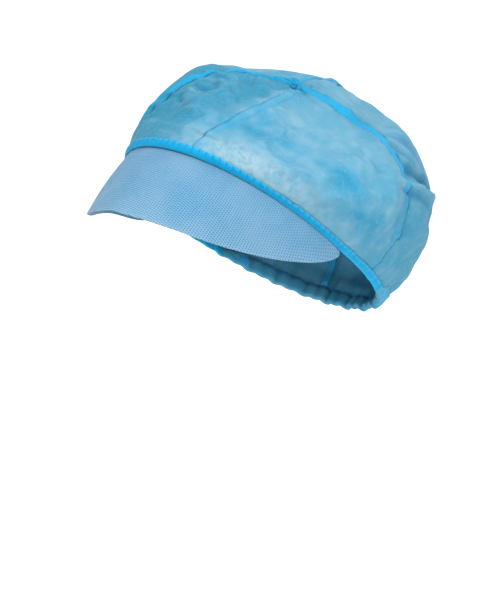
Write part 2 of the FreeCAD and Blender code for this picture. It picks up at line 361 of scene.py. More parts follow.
def peakCloth():
    paint = Paint("peakCloth", roughness=0.6, sheen=0.1)
    place = paint.objectPlace()
    cloth = paint.clothPlace()
    u, v = paint.axes(cloth)
    wobble = paint.streaks(cloth, (420, 420, 1), 2, 0.5, 0) - 0.5

    def fromMiddle(cell):
        return paint.math("ABSOLUTE", paint.math("FRACT", cell + 100.0) - 0.5)

    across = fromMiddle(u / peakColours["pitchAcross"] + wobble * 0.22)
    along = fromMiddle(v / peakColours["pitchAlong"] + wobble * 0.18)
    halfLength, halfWidth = peakColours["dashLength"] / 2, peakColours["dashWidth"] / 2
    length = 1 - paint.between(across, halfLength - 0.09, halfLength + 0.06)
    width = 1 - paint.between(along, halfWidth - 0.08, halfWidth + 0.08)
    dash = length * width
    strong = paint.between(paint.cloud(place, 38, 3, 0.5, 0.3), 0.34, 0.66)
    fibres = paint.streaks(cloth, (700, 1500, 1), 3, 0.7, 1.0)
    base = paint.mix(strong * 0.6, peakColours["plain"], peakColours["deep"])
    base = paint.mix(paint.between(fibres, 0.50, 0.68) * 0.45, base, peakColours["pale"])
    base = paint.mix(paint.mask("edge") * 0.5, base, peakColours["pale"])
    fleck = paint.between(paint.streaks(cloth, (180, 900, 1), 2, 0.5, 0), 0.74, 0.80)
    base = paint.mix(fleck * 0.6, base, peakColours["fleck"])
    paint.colour(paint.mix(dash * (0.80 + strong * 0.20), base, peakColours["dash"]))
    paint.rough(0.55 + fibres * 0.2)
    paint.bump(fibres * 0.35 - dash, 0.30 * mm, 0.9)
    paint.letLightThrough(peakColours["through"], peakColours["throughShare"])
    return paint.material


def sewingThread():
    paint = Paint("sewingThread", roughness=0.5, sheen=0.2)
    twist = paint.streaks(paint.objectPlace(), (2600, 2600, 2600), 2, 0.6, 0)
    light = tuple(c * 1.3 + 0.02 for c in thread["colour"])
    paint.colour(paint.mix(paint.between(twist, 0.4, 0.65), thread["colour"], light))
    paint.rough(0.5 + twist * 0.2)
    paint.bump(twist, 0.1 * mm, 0.7)
    return paint.material


def elasticTape():
    paint = Paint("elasticTape", roughness=0.6, sheen=0.2)
    u, v = paint.axes(paint.clothPlace())
    ribs = paint.math("SINE", v * (fullTurn / (0.9 * mm)))
    knit = paint.math("SINE", u * (fullTurn / (0.7 * mm)))
    weave = paint.between(ribs * 0.7 + knit * 0.3, -0.5, 0.8)
    # painted shade in the grooves between the ribs, the crests keep the tape's white
    paint.colour(paint.mix(weave, (0.55, 0.62, 0.66), (0.82, 0.86, 0.88)))
    paint.rough(0.55 + weave * 0.15)
    paint.bump(weave, 0.2 * mm, 0.8)
    return paint.material


crownMaterial = crownCloth()
bandMaterial = bandCloth()
peakMaterial = peakCloth()
threadMaterial = sewingThread()
elasticMaterial = elasticTape()

print("stage: crown shape")
rim = {"front": 77 * mm, "back": 90 * mm, "halfWidth": 80 * mm, "drop": 135 * mm}
crown = {
    "crossing": (9.5 * mm, 38.5 * mm, 23.5 * mm),
    "climb": (-0.31, 0.03),                 # slope of the cloth at the crossing
    "flare": (16.5, -13, 10.5, -0.5, 0),          # handles of the meridians in mm, as waves round the head
    "rise": (23, -1.5, -5.5, -8, 5.5),
    "shoulder": (103.5, -50.5, -0.5, -8.5, 2),
    "swell": (-5, 10, -28.5, -3, 0.5),
    "reach": (32.5, 7, -13.5, 8, 1),
    "columns": 480,
    "rows": 120,
    "thickness": 0.35 * mm,
    "foot": 4 * mm,                         # the cloth starts this high inside the band
    "footRise": 3.2 * mm,                   # and so much higher above the elastic
    "puckerDepth": 0.9 * mm,
    "gatherPitch": 6.2,                     # degrees round the back from one gather to the next
    "gatherDepth": 1.5 * mm,
    "gatherReach": 30 * mm,
    # folds: places as (turn in degrees, height in mm), then depth and half width in mm
    "folds": [
        ([(99, 63), (107, 67), (119, 75), (131, 78), (139, 76)], 3.4, 2.6),
        ([(108, 79), (117, 83), (128, 84), (137, 84)], -4.8, 3.6),
        ([(112, 72), (122, 80), (133, 86)], -1.8, 1.8),
        ([(109, 92), (117, 86), (124, 81)], 2.8, 1.8),
        ([(110, 103), (119, 93), (126, 85)], -2.6, 1.6),
        ([(109, 97), (115, 89), (121, 83)], -1.6, 1.3),
        ([(108, 110), (118, 101), (128, 91), (135, 84)], 2.4, 2.0),
        ([(118, 112), (128, 101), (140, 96)], -1.4, 2.4),
        ([(104, 60), (112, 66), (122, 68), (134, 66)], -2.0, 2.6),
        ([(126, 58), (134, 63), (144, 62)], -2.6, 4.0),
        ([(96, 20), (97, 36), (99, 50), (98, 62)], 1.3, 2.2),
        ([(101, 18), (103, 36), (104, 52)], -1.2, 2.6),
        ([(126, 12), (127, 30), (124, 46)], -1.3, 2.4),
        ([(133, 12), (136, 28), (137, 44)], 1.3, 2.6),
        ([(-46, 58), (-40, 52), (-32, 48)], -2.2, 1.8),
        ([(-44, 63), (-36, 60), (-27, 60)], 2.0, 2.0),
        ([(-47, 68), (-38, 68), (-26, 70)], -2.0, 2.0),
        ([(-50, 74), (-40, 78), (-28, 80)], 1.6, 2.2),
        ([(-50, 84), (-42, 86), (-34, 84)], -1.4, 1.8),
        ([(-50, 92), (-38, 92), (-22, 86)], 0.9, 2.6),
        ([(-48, 102), (-40, 100), (-28, 98)], -1.0, 2.0),
        ([(-30, 34), (-18, 40), (-4, 40), (8, 36)], 1.1, 3.0),
        ([(-26, 28), (-14, 32), (0, 32)], -1.0, 2.6),
        ([(-20, 74), (-8, 66), (4, 62), (12, 52)], 0.9, 3.2),
        ([(-168, 200), (-170, 188), (-171, 176), (-174, 160)], -1.0, 2.4),
        ([(-160, 202), (-158, 186), (-160, 170)], 0.7, 3.2),
        ([(108, 132), (124, 118), (142, 104)], -3.6, 13.0),
        ([(118, 150), (132, 128), (150, 112)], 1.1, 2.0),
        ([(124, 168), (140, 146), (158, 128)], -1.0, 2.2),
        ([(126, 140), (140, 122), (156, 108)], -1.2, 2.0),
        ([(20, 70), (34, 74), (50, 82), (62, 94)], 0.8, 3.0),
        ([(60, 60), (74, 66), (88, 68), (98, 66)], -0.8, 4.0),
        ([(24, 22), (38, 21), (52, 18), (64, 14)], 0.5, 1.8),
        ([(-120, 30), (-118, 60), (-124, 90), (-136, 120)], -1.6, 5.0),
        ([(-98, 20), (-90, 44), (-84, 70), (-78, 96)], 1.4, 4.5),
        ([(160, 30), (166, 60), (170, 100)], -1.6, 5.0),
        ([(-150, 26), (-158, 60), (-164, 96)], 1.6, 5.0),
    ],
    # deeper blue places: (turn, height in mm, half width in degrees, half height in mm, strength)
    "stains": [
        (31, 44, 13, 9, 0.95), (41, 50, 10, 7, 0.5), (76, 40, 11, 11, 0.95), (66, 47, 8, 8, 0.5),
        (88, 24, 8, 7, 0.6), (26, 62, 9, 7, 0.55), (56, 34, 9, 7, 0.45), (95, 26, 4, 12, 0.6),
        (12, 40, 7, 7, 0.45), (-12, 30, 12, 10, 0.5),
    ],
}
# each seam's turn, the side and width of its turned-in strip, how strongly that shows and what is left of
# it low down, and the depth of the groove
seams = {
    "front_right": {"turn": -52, "side": -1, "strip": 8 * mm, "shows": 1.0, "low": 0.35, "groove": 0.95 * mm},
    "front_left": {"turn": 13.5, "side": 1, "strip": 6 * mm, "shows": 0.30, "low": 1.0, "groove": 0.45 * mm},
    "back_left": {"turn": 110, "side": -1, "strip": 7.5 * mm, "shows": 0.95, "low": 0.3, "groove": 0.95 * mm},
    "back_right": {"turn": 190, "side": 1, "strip": 5.5 * mm, "shows": 0.75, "low": 0.8, "groove": 0.8 * mm},
}


def wave(terms, turn):
    constant, cosine, sine, cosineTwice, sineTwice = terms
    return (constant + cosine * np.cos(turn) + sine * np.sin(turn)
            + cosineTwice * np.cos(2 * turn) + sineTwice * np.sin(2 * turn)) * mm


def outward(turn):
    return np.stack([np.sin(turn), -np.cos(turn), np.zeros_like(turn)], -1)


def rimPoint(turn):
    length = np.where(np.cos(turn) > 0, rim["front"], rim["back"])
    fall = rim["drop"] * (1 - np.cos(turn)) / 2
    return np.stack([rim["halfWidth"] * np.sin(turn), -length * np.cos(turn), -fall], -1)


def crownPoint(turn, share):
    # share is 0 at the rim and 1 where the seams cross
    crossing = np.array(crown["crossing"])
    side = outward(turn)
    climb = crown["climb"][0] * side[..., 0] + crown["climb"][1] * side[..., 1]
    up = np.array([0, 0, 1.0])
    flare, rise, shoulder, swell, reach = (
        wave(crown[key], turn)[..., None] for key in ("flare", "rise", "shoulder", "swell", "reach"))
    start = rimPoint(turn)
    low = start + side * flare + up * rise
    middle = crossing + side * shoulder + up * swell
    high = crossing + (side + up * climb[..., None]) * reach
    s = share[..., None]
    r = 1 - s
    return (start * r ** 4 + low * 4 * r ** 3 * s + middle * 6 * r ** 2 * s ** 2
            + high * 4 * r * s ** 3 + crossing * s ** 4)


def crownAxes():
    # columns meet the seams exactly, rows crowd towards the crossing
    starts = [math.radians(seam["turn"]) for seam in seams.values()]
    columns, atSeam = [], []
    for start, end in zip(starts, starts[1:] + [starts[0] + fullTurn]):
        count = round(crown["columns"] * (end - start) / fullTurn)
        atSeam.append(len(columns))
        columns += [start + (end - start) * i / count for i in range(count)]
    atSeam.append(len(columns))
    return np.array(columns), 1 - (1 - np.linspace(0, 1, crown["rows"])) ** 1.25, atSeam


def lengthsUp(points):
    steps = np.linalg.norm(np.diff(points, axis=1), axis=-1)
    return np.concatenate([np.zeros((points.shape[0], 1)), np.cumsum(steps, axis=1)], axis=1)


turns, shares, seamColumns = crownAxes()
turnGrid, shareGrid = np.meshgrid(turns, shares, indexing="ij")
plainCrown = crownPoint(turnGrid, shareGrid)
heightGrid = lengthsUp(plainCrown)
degreeGrid = np.degrees(wrapped(turnGrid, fullTurn))
smallTurn = 0.005
sideways = crownPoint(turnGrid + smallTurn, shareGrid) - crownPoint(turnGrid - smallTurn, shareGrid)
perTurn = np.linalg.norm(sideways, axis=-1) / (2 * smallTurn)


def seamDistance(seam):
    # across the cloth from the seam, positive on the side of larger turns
    return wrapped(turnGrid - math.radians(seam["turn"]), fullTurn) * perTurn


def stripWidth(number, seam, ragged=0.0):
    uneven = 0.10 * ripple(heightGrid, number + 3.0, 23 * mm)
    return seam["strip"] * (1 + uneven + ragged * ripple(heightGrid, number + 8.0, 5 * mm))


def foldDepth():
    # soft ridges and valleys along lines drawn on the cloth
    depth = np.zeros_like(turnGrid)
    for places, deep, half in crown["folds"]:
        nearest = np.full_like(turnGrid, 1.0)
        fade = np.ones_like(turnGrid)
        for number, (start, end) in enumerate(zip(places, places[1:])):
            x = np.radians(wrapped(degreeGrid - start[0], 360)) * perTurn
            y = heightGrid - start[1] * mm
            runX = np.radians(wrapped(end[0] - start[0], 360)) * perTurn
            runY = (end[1] - start[1]) * mm
            share = np.clip((x * runX + y * runY) / (runX ** 2 + runY ** 2), 0, 1)
            away = np.hypot(x - share * runX, y - share * runY)
            place = (number + share) / (len(places) - 1)
            ends = smooth(-0.05, 0.25, place) * (1 - smooth(0.75, 1.05, place))
            closer = away < nearest         # false where the seams cross, where there is no way round
            nearest = np.where(closer, away, nearest)
            fade = np.where(closer, ends, fade)
        depth += deep * mm * fade * np.exp(-(nearest / (half * mm)) ** 2)
    return depth


drape = {
    "columnStep": 4,                        # the cloth that falls is coarser than the one that shows
    "rowStep": 3,
    "footHeld": (10 * mm, 20 * mm),
    "seamHeld": 0.35,
    "seamReach": (2 * mm, 7 * mm),
    "growth": 0.05,                         # extra cloth that has to find room in folds
    "pressure": 0.7,
    "gravity": 0.15,
    "frames": 26,
    "sagRounds": 60,
    "fadeIn": (6 * mm, 18 * mm),
    "gain": 1.2,
    "limit": 5 * mm,
    "cloth": {"quality": 6, "mass": 0.12, "tension_stiffness": 12, "compression_stiffness": 12,
              "shear_stiffness": 3, "bending_stiffness": 0.06, "tension_damping": 8, "air_damping": 3,
              "vertex_group_mass": "held", "pin_stiffness": 0.6, "use_pressure": True},
}


def softened(grid, rounds):
    for _ in range(rounds):
        grid = (np.roll(grid, 1, 0) + 2 * grid + np.roll(grid, -1, 0)) / 4
        grid[:, 1:-1] = (grid[:, :-2] + 2 * grid[:, 1:-1] + grid[:, 2:]) / 4
    return grid


def resampled(values, places, count):
    # values given at places along the first axis, read at each whole number
    lines = values.reshape(len(places), -1).T
    read = np.stack([np.interp(np.arange(count), places, line) for line in lines], -1)
    return read.reshape(count, *values.shape[1:])


def drapedOffset():
    # the cloth has a little more area than the form, so it falls in soft folds
    columns = np.arange(0, len(turns), drape["columnStep"])
    rows = np.arange(0, len(shares) - 2, drape["rowStep"])
    coarse = plainCrown[np.ix_(columns, rows)]
    high = heightGrid[np.ix_(columns, rows)]
    count, tall = len(columns), len(rows)
    mesh = bpy.data.meshes.new("drapeCloth")
    mesh.from_pydata(coarse.reshape(-1, 3).tolist(), [], gridFaces(count, tall, closed=True))
    cloth = bpy.data.objects.new("drapeCloth", mesh)
    bpy.context.scene.collection.objects.link(cloth)
    pins = cloth.vertex_groups.new(name="held")
    held = 1 - smooth(*drape["footHeld"], high)
    held[:, -1] = 1
    for seam in seams.values():
        near = np.abs(seamDistance(seam)[np.ix_(columns, rows)])
        held = np.maximum(held, drape["seamHeld"] * (1 - smooth(*drape["seamReach"], near)))
    for index, weight in enumerate(held.ravel()):
        if weight > 0.01:
            pins.add([index], float(weight), "REPLACE")
    cloth.modifiers.new("Cloth", "CLOTH")
    modifier = cloth.modifiers["Cloth"]
    for key, value in drape["cloth"].items():
        setattr(modifier.settings, key, value)
    modifier.settings.shrink_min = -drape["growth"]
    modifier.settings.uniform_pressure_force = drape["pressure"]
    modifier.settings.effector_weights.gravity = drape["gravity"]
    modifier.collision_settings.use_collision = False
    modifier.point_cache.frame_start = 1
    modifier.point_cache.frame_end = drape["frames"] + 4
    scene = bpy.context.scene
    for number in range(1, drape["frames"] + 1):
        scene.frame_set(number)
    result = cloth.evaluated_get(bpy.context.evaluated_depsgraph_get()).data
    moved = np.empty(len(result.vertices) * 3)
    result.vertices.foreach_get("co", moved)
    moved = moved.reshape(count, tall, 3) - coarse
    scene.frame_set(1)
    bpy.data.objects.remove(cloth)
    # the form stays where it is: only the folds are kept
    folds = moved - softened(moved, drape["sagRounds"])
    folds *= (smooth(*drape["fadeIn"], high) * drape["gain"])[..., None]
    size = np.linalg.norm(folds, axis=-1, keepdims=True)
    folds *= drape["limit"] * np.tanh(size / drape["limit"]) / np.maximum(size, 1e-9)
    print("drape moves", round(size.max() / mm, 1), "mm at most, mean", round(size.mean() / mm, 2))
    # spread back over the fine grid
    around = resampled(np.concatenate([folds, folds[:1]]), [*columns, len(turns)], len(turns))
    byRow = np.swapaxes(around, 0, 1)
    full = resampled(np.concatenate([byRow, byRow[-1:] * 0.5]), [*rows, len(shares) - 1], len(shares))
    return softened(np.swapaxes(full, 0, 1), 3)


def sewnDetail():
    # how far the cloth stands off its form: seam grooves, turned-in edges, puckers and gathers
    depth = np.zeros_like(turnGrid)
    fade = smooth(9 * mm, 16 * mm, heightGrid)
    shallow = 1 - 0.75 * smooth(0.75, 0.95, shareGrid)
    for number, seam in enumerate(seams.values()):
        away = seamDistance(seam)
        near = np.abs(away)
        inside = away * seam["side"]
        width = stripWidth(number, seam)
        strip = smooth(0.0, 1.0 * mm, inside) * (1 - smooth(width - 0.9 * mm, width + 0.5 * mm, inside))
        depth += 0.42 * mm * strip * fade
        depth -= seam["groove"] * np.exp(-near / (1.0 * mm)) * fade * shallow
        pucker = ripple(heightGrid, number * 2.1 + 0.7, 11 * mm)
        pucker += 0.35 * ripple(heightGrid, number + 4.0, 4.6 * mm)
        depth += crown["puckerDepth"] * pucker * np.exp(-near / (5 * mm)) * fade * smooth(0, 2 * mm, near)
    behind = smooth(100, 128, np.abs(degreeGrid))
    phase = turnGrid / math.radians(crown["gatherPitch"]) * fullTurn + 0.9 * ripple(turnGrid, 2.0, 0.7)
    gathers = np.sin(phase) * 0.6 + np.sin(phase * 0.5 + 1.1) * 0.5
    reach = crown["gatherReach"] * (1 + 0.5 * ripple(turnGrid, 5.0, 0.4))
    depth += crown["gatherDepth"] * gathers * behind * np.exp(-(heightGrid / reach) ** 2)
    return depth


foldGrid = foldDepth()
roughCrown = plainCrown + gridNormals(plainCrown) * foldGrid[..., None]
roughCrown = roughCrown + drapedOffset()
crownGrid = roughCrown + gridNormals(roughCrown) * sewnDetail()[..., None]
crownGrid[:, -1] = crownGrid[:, -1].mean(axis=0)
crownNormals = gridNormals(crownGrid)
crownNormals[:, -1] = unit(crownNormals[:, -3].mean(axis=0))
crownHeights = lengthsUp(crownGrid)


def onCrown(turn, height, depth):
    # a point of the finished crown by its turn and height, and depth outside it
    place = (turn - turns[0]) % fullTurn
    edges = np.concatenate([turns - turns[0], [fullTurn]])
    column = min(int(np.searchsorted(edges, place, side="right") - 1), len(turns) - 1)
    share = (place - edges[column]) / (edges[column + 1] - edges[column])
    point, normal = 0, 0
    for index, weight in ((column, 1 - share), ((column + 1) % len(turns), share)):
        k = np.interp(height, crownHeights[index], np.arange(len(shares)))
        low = min(int(k), len(shares) - 2)
        part = k - low
        point = point + (crownGrid[index, low] * (1 - part) + crownGrid[index, low + 1] * part) * weight
        normal = normal + (crownNormals[index, low] * (1 - part) + crownNormals[index, low + 1] * part) * weight
    return point + unit(normal) * depth


def crownMasks():
    double, line, stain = (np.zeros_like(turnGrid) for _ in range(3))
    for number, seam in enumerate(seams.values()):
        away = seamDistance(seam)
        inside = away * seam["side"]
        width = stripWidth(number, seam, ragged=0.05)
        strip = smooth(-0.5 * mm, 0.3 * mm, inside) * (1 - smooth(width - 0.4 * mm, width + 0.3 * mm, inside))
        strength = seam["shows"] * (seam["low"] + (1 - seam["low"]) * smooth(48 * mm, 78 * mm, heightGrid))
        double = np.maximum(double, strip * strength)
        near = away + 0.35 * mm * ripple(heightGrid, number + 5.0, 4.3 * mm)
        fine = np.minimum(1, strength * 0.9 + 0.15) * (1 - 0.7 * smooth(0.8, 0.96, shareGrid))
        line = np.maximum(line, np.exp(-(near / (0.75 * mm)) ** 2) * fine)
        cut = inside - width - 0.5 * mm * ripple(heightGrid, number + 11.0, 3.4 * mm)
        line = np.maximum(line, np.exp(-(cut / (0.5 * mm)) ** 2) * strength * 0.6)
    # where the cloth lies against the forehead
    skin = np.exp(-((degreeGrid - 38) / 30) ** 2) * smooth(3 * mm, 7 * mm, heightGrid) \
        * (1 - smooth(13 * mm, 25 * mm, heightGrid))
    # painted shade: the front right panel and the back stand away from the head and are darkened there
    fromFront = np.abs(degreeGrid)
    hollowShade = smooth(16, -6, degreeGrid) * (1 - 0.6 * smooth(75, 110, fromFront))
    hollowShade = np.maximum(hollowShade, smooth(88, 112, degreeGrid) * 0.75)
    hollowShade = hollowShade * (1 - 0.95 * smooth(75 * mm, 110 * mm, heightGrid) * smooth(95, 115, fromFront))
    for turn, height, wide, tall, strength in crown["stains"]:
        gap = wrapped(degreeGrid - turn, 360)
        spot = np.exp(-(gap / wide) ** 2 - ((heightGrid / mm - height) / tall) ** 2)
        stain = np.maximum(stain, strength * spot)
    # painted highlight on the fold ridges and painted shade in the fold valleys
    folds = foldGrid / (2 * mm)
    line = np.maximum(line, 0.55 * np.clip(-folds, 0, 1) ** 1.5)
    return {"double": double, "skin": np.clip(skin, 0, 1), "hollowShade": np.clip(hollowShade, 0, 1), "stain": stain,
            "line": line, "crestHighlight": np.clip(folds, 0, 1) ** 2}


masks = crownMasks()
band = {"height": 6 * mm, "thickness": 2.4 * mm, "stitchInset": 1.5 * mm, "halfSpan": 124,
        "puckerDepth": 0.35 * mm, "cutWidth": 14.5 * mm}


def panelPiece(number, name):
    picked = [i % len(turns) for i in range(seamColumns[number], seamColumns[number + 1] + 1)]
    starts = []
    for index in picked:
        past = abs(degreeGrid[index, 0]) - band["halfSpan"]
        foot = crown["foot"] + crown["footRise"] * float(smooth(0, 8, past))
        starts.append(int(np.searchsorted(crownHeights[index], foot)))
    lowest = min(starts)
    block = crownGrid[picked, lowest:]
    for place, (index, start) in enumerate(zip(picked, starts)):
        block[place, :start - lowest] = crownGrid[index, start]
    count, rows = len(picked), block.shape[1] - 1
    points = np.concatenate([block[:, :-1].reshape(-1, 3), crownGrid[:1, -1]])
    faces = gridFaces(count, rows)
    faces += [(i * rows + rows - 1, (i + 1) * rows + rows - 1, count * rows) for i in range(count - 1)]
    steps = np.linalg.norm(np.diff(block[:, (rows + 1) // 3], axis=0), axis=-1)
    across = np.cumsum(np.concatenate([[0], steps]))
    uv = np.stack([np.repeat(across, rows), crownHeights[picked, lowest:-1].ravel()], -1)
    uv = np.concatenate([uv, [[across.mean(), crownHeights[picked[0], -1]]]])
    layers = {key: np.append(values[picked, lowest:-1].ravel(), 0.6) for key, values in masks.items()}
    piece = newPiece(name, points, faces, crownMaterial, uv, layers)
    shape = bmesh.new()
    shape.from_mesh(piece.data)
    bmesh.ops.remove_doubles(shape, verts=shape.verts, dist=1e-6)
    shape.to_mesh(piece.data)
    shape.free()
    thicken(piece, crown["thickness"])
    applyModifiers(piece)
    return piece


panelPieces = {}
panelNames = ("crown_front_panel", "crown_left_panel", "crown_back_panel", "crown_right_panel")
for number, node in enumerate(panelNames):
    panelPieces[node] = panelPiece(number, "look_" + node)
    mount(panelPieces[node], node)

print("stage: band, hem and edges")


def ringPiece(name, first, last, steps, section, material):
    # a strip along the rim; section gives (depth, height, edge mask) for each turn
    rings, uv, edge = [], [], []
    travelled = 0.0
    before = None
    for turn in np.linspace(math.radians(first), math.radians(last), steps):
        centre = onCrown(turn, 3 * mm, 0)
        ring = section(turn, travelled)
        if before is not None:
            travelled += float(np.linalg.norm(centre - before))
        before = centre
        rings.append([onCrown(turn, height, depth) for depth, height, light in ring])
        uv += [(travelled, height + (0 if depth > 0 else 20 * mm)) for depth, height, light in ring]
        edge += [light for depth, height, light in ring]
    vertices, faces = [], []
    addTube(vertices, faces, rings)
    layers = {"edge": edge, "double": [hem["double"]] * len(edge)}
    return newPiece(name, vertices, faces, material, uv, layers)


def bandSection(turn, travelled):
    half = band["thickness"] / 2
    slot = half * 0.45
    tall = band["height"]
    ends = 0.5 + 0.5 * math.cos(fullTurn * travelled / thread["pitch"])   # 1 where a stitch enters the cloth
    uneven = ripple(travelled, 4.0, 17 * mm) * 0.22 * mm
    fuzz = ripple(travelled, 9.0, 3.1 * mm) * 0.14 * mm
    squeeze = band["puckerDepth"] * ends
    top = tall + uneven + fuzz
    bottom = -0.1 * mm + fuzz * 0.6
    return [(half * 0.55, bottom, 0.8), (half * 0.95, 0.5 * mm, 0.75), (half * 1.02, 1.2 * mm, 0.15),
            (half - squeeze * 0.5, 1.9 * mm, 0), (half * 1.03, 2.7 * mm, 0), (half * 1.05, tall * 0.62, 0),
            (half - squeeze, tall - band["stitchInset"], 0.05), (half * 0.92, tall - 0.7 * mm, 0.35),
            (half * 0.75, top, 0.8), (slot, top - 0.2 * mm, 0.9), (slot, tall * 0.6, 0.2), (slot, 1 * mm, 0.1),
            (-slot, 1 * mm, 0.1), (-slot, tall * 0.6, 0.2), (-slot, tall - 0.5 * mm, 0.6),
            (-half * 0.8, tall - 0.4 * mm, 0.7), (-half, tall - 1.5 * mm + squeeze, 0.1), (-half, 0.6 * mm, 0.1),
            (-half * 0.5, bottom, 0.5)]


# taper: degrees over which the hem grows from the band's size; double: how dense the doubled cloth looks
hem = {"height": 10 * mm, "thickness": 4 * mm, "cutWidth": 24 * mm, "taper": 9, "double": 0.5}
hemEnds = (band["halfSpan"] - 0.2, 360 - band["halfSpan"] + 0.2)


def hemSection(turn, travelled):
    fromEnd = min(math.degrees(turn) - hemEnds[0], hemEnds[1] - math.degrees(turn))
    swollen = float(smooth(0, hem["taper"], fromEnd))
    half = (band["thickness"] + (hem["thickness"] - band["thickness"]) * swollen) / 2
    slot = half - 0.55 * mm
    tall = band["height"] + (hem["height"] - band["height"]) * swollen
    fuzz = ripple(travelled, 6.0, 6 * mm) * 0.2 * mm
    return [(half * 0.6, 0.2 * mm, 0.3), (half, 1.0 * mm, 0.2), (half * 1.05, tall * 0.3, 0),
            (half * 1.05, tall * 0.6, 0), (half * 0.85, tall - 1.6 * mm, 0.1),
            (half * 0.6, tall - 0.4 * mm + fuzz, 0.5), (0.4 * mm, tall + fuzz, 0.8),
            (0.4 * mm, tall - 1.5 * mm, 0.3), (slot, tall * 0.65, 0), (slot, 1.2 * mm, 0), (-slot, 1.2 * mm, 0),
            (-slot, tall * 0.65, 0), (-0.4 * mm, tall - 1.5 * mm, 0.3), (-0.4 * mm, tall - 0.1 * mm, 0.8),
            (-half * 0.6, tall - 0.4 * mm, 0.5), (-half * 1.05, tall * 0.6, 0), (-half * 1.05, tall * 0.3, 0),
            (-half, 1.0 * mm, 0.1), (-half * 0.6, 0.2 * mm, 0.2)]


elastic = {"width": 5 * mm, "thickness": 1 * mm, "low": 1.4 * mm, "inset": 7}


def elasticSection(turn, travelled):
    low, high, half = elastic["low"], elastic["low"] + elastic["width"], elastic["thickness"] / 2
    bend = math.sin(travelled / (3.1 * mm) * math.pi) * 0.12 * mm
    return [(half + bend, low, 0), (half + bend, (low + high) / 2, 0), (half + bend, high, 0),
            (-half + bend, high, 0), (-half + bend, (low + high) / 2, 0), (-half + bend, low, 0)]


bandPiece = ringPiece("look_front_band", -band["halfSpan"], band["halfSpan"], 900, bandSection, bandMaterial)
hemPiece = ringPiece("look_back_hem", *hemEnds, 480, hemSection, crownMaterial)
elasticPiece = ringPiece("look_nape_elastic", hemEnds[0] + elastic["inset"], hemEnds[1] - elastic["inset"], 420,
                         elasticSection, elasticMaterial)


def addThread(vertices, faces, centres, across, up, radii, sides):
    angles = np.linspace(0, fullTurn, sides, endpoint=False)
    addTube(vertices, faces, [[c + (a * math.cos(angle) + u * math.sin(angle)) * radius for angle in angles]
                              for c, a, u, radius in zip(centres, across, up, radii)])


def stitchRow(name, points, normals, pitch):
    # short stitches along a line, both ends of each going into the cloth
    along = np.concatenate([[0], np.cumsum(np.linalg.norm(np.diff(points, axis=0), axis=-1))])
    radius, reach = thread["radius"], np.linspace(-1, 1, 9)
    vertices, faces = [], []
    for number in range(int(along[-1] / pitch)):
        half = pitch * thread["share"] / 2 * (1 + 0.06 * math.sin(number * 2.3))
        places = (number + 0.5) * pitch + half * reach
        centres = np.stack([np.interp(places, along, points[:, k]) for k in range(3)], -1)
        outer = unit(np.stack([np.interp(places, along, normals[:, k]) for k in range(3)], -1))
        centres = centres - outer * (radius * 3 * np.abs(reach) ** 5)[:, None]
        tangents = unit(np.gradient(centres, axis=0))
        across = unit(np.cross(outer, tangents))
        radii = radius * (1 - 0.35 * np.abs(reach) ** 3)
        addThread(vertices, faces, centres, across, np.cross(tangents, across), radii, 7)
    return newPiece(name, vertices, faces, threadMaterial)


def rowRoundRim(name, first, last, height, depth):
    turnsAlong = np.radians(np.linspace(first, last, 500))
    points = np.array([onCrown(turn, height, depth) for turn in turnsAlong])
    under = np.array([onCrown(turn, height, 0) for turn in turnsAlong])
    return stitchRow(name, points, unit(points - under), thread["pitch"])


bandEdge = band["halfSpan"] - 1.5
bandRow = rowRoundRim("look_band_stitching", -bandEdge, bandEdge, band["height"] - band["stitchInset"],
                      band["thickness"] / 2 + 0.05 * mm)
hemRow = rowRoundRim("look_hem_stitching", hemEnds[0] + 1.5, hemEnds[1] - 1.5,
                     hem["height"] - band["stitchInset"], hem["thickness"] / 2)
peak = {
    "halfSpan": 90, "depth": 60 * mm, "cornerDepth": 3 * mm, "tilt": 31, "tiltGain": 63,
    "thickness": 0.8 * mm, "bow": 2 * mm, "fullness": 0.82, "clearance": 0.5 * mm, "rootHeight": 5 * mm,
    "farLift": 7.5 * mm, "frontDrop": 2.5 * mm, "bendLength": 46 * mm,
}


def sewnEdgeSection(turn, travelled):
    near = -band["thickness"] / 2 - 0.15 * mm
    far = near - 0.7 * mm
    top = peak["rootHeight"] + ripple(travelled, 2.0, 4 * mm) * 0.12 * mm
    return [(near, 0.3 * mm, 0.2), (near, 2.5 * mm, 0), (near, top, 0.8), (far, top, 0.9), (far, 2.5 * mm, 0),
            (far, 0.3 * mm, 0.2)]


rootEdge = peak["halfSpan"] - 1
sewnEdge = ringPiece("look_peak_sewn_edge", -rootEdge, rootEdge, 500, sewnEdgeSection, peakMaterial)
peakRow = rowRoundRim("look_peak_stitching", -rootEdge + 2, rootEdge - 2, peak["rootHeight"] / 2,
                      -band["thickness"] / 2 - 0.9 * mm)
tack = {"fromTapeEnd": 2.0, "halfAngle": 1.6, "passes": 45}


def barTack(name, side):
    # close zigzag stitches that hold the elastic's end
    middle = side * (band["halfSpan"] + elastic["inset"] + tack["fromTapeEnd"])
    points, normals = [], []
    for number in range(tack["passes"] + 1):
        turn = math.radians(middle + tack["halfAngle"] * (2 * number / tack["passes"] - 1))
        height = elastic["low"] + elastic["width"] * (number % 2)
        points.append(onCrown(turn, height, -hem["thickness"] / 2 - 0.1 * mm))
        normals.append(unit(points[-1] - onCrown(turn, height, 0)))
    radius, reach = thread["radius"] * 0.9, np.array([0, 0.06, 0.5, 0.94, 1])
    count = len(reach)
    vertices, faces = [], []
    for here, there, outer in zip(points, points[1:], normals):
        across = unit(np.cross(outer, unit(there - here)))
        centres = here + (there - here) * reach[:, None]
        centres = centres + outer * (radius * (0.9 - 16 * np.abs(reach - 0.5) ** 3))[:, None]
        addThread(vertices, faces, centres, [across] * count, [outer] * count, [radius] * count, 6)
    return newPiece(name, vertices, faces, threadMaterial)


tackLeft = barTack("look_elastic_tack_left", 1)
tackRight = barTack("look_elastic_tack_right", -1)

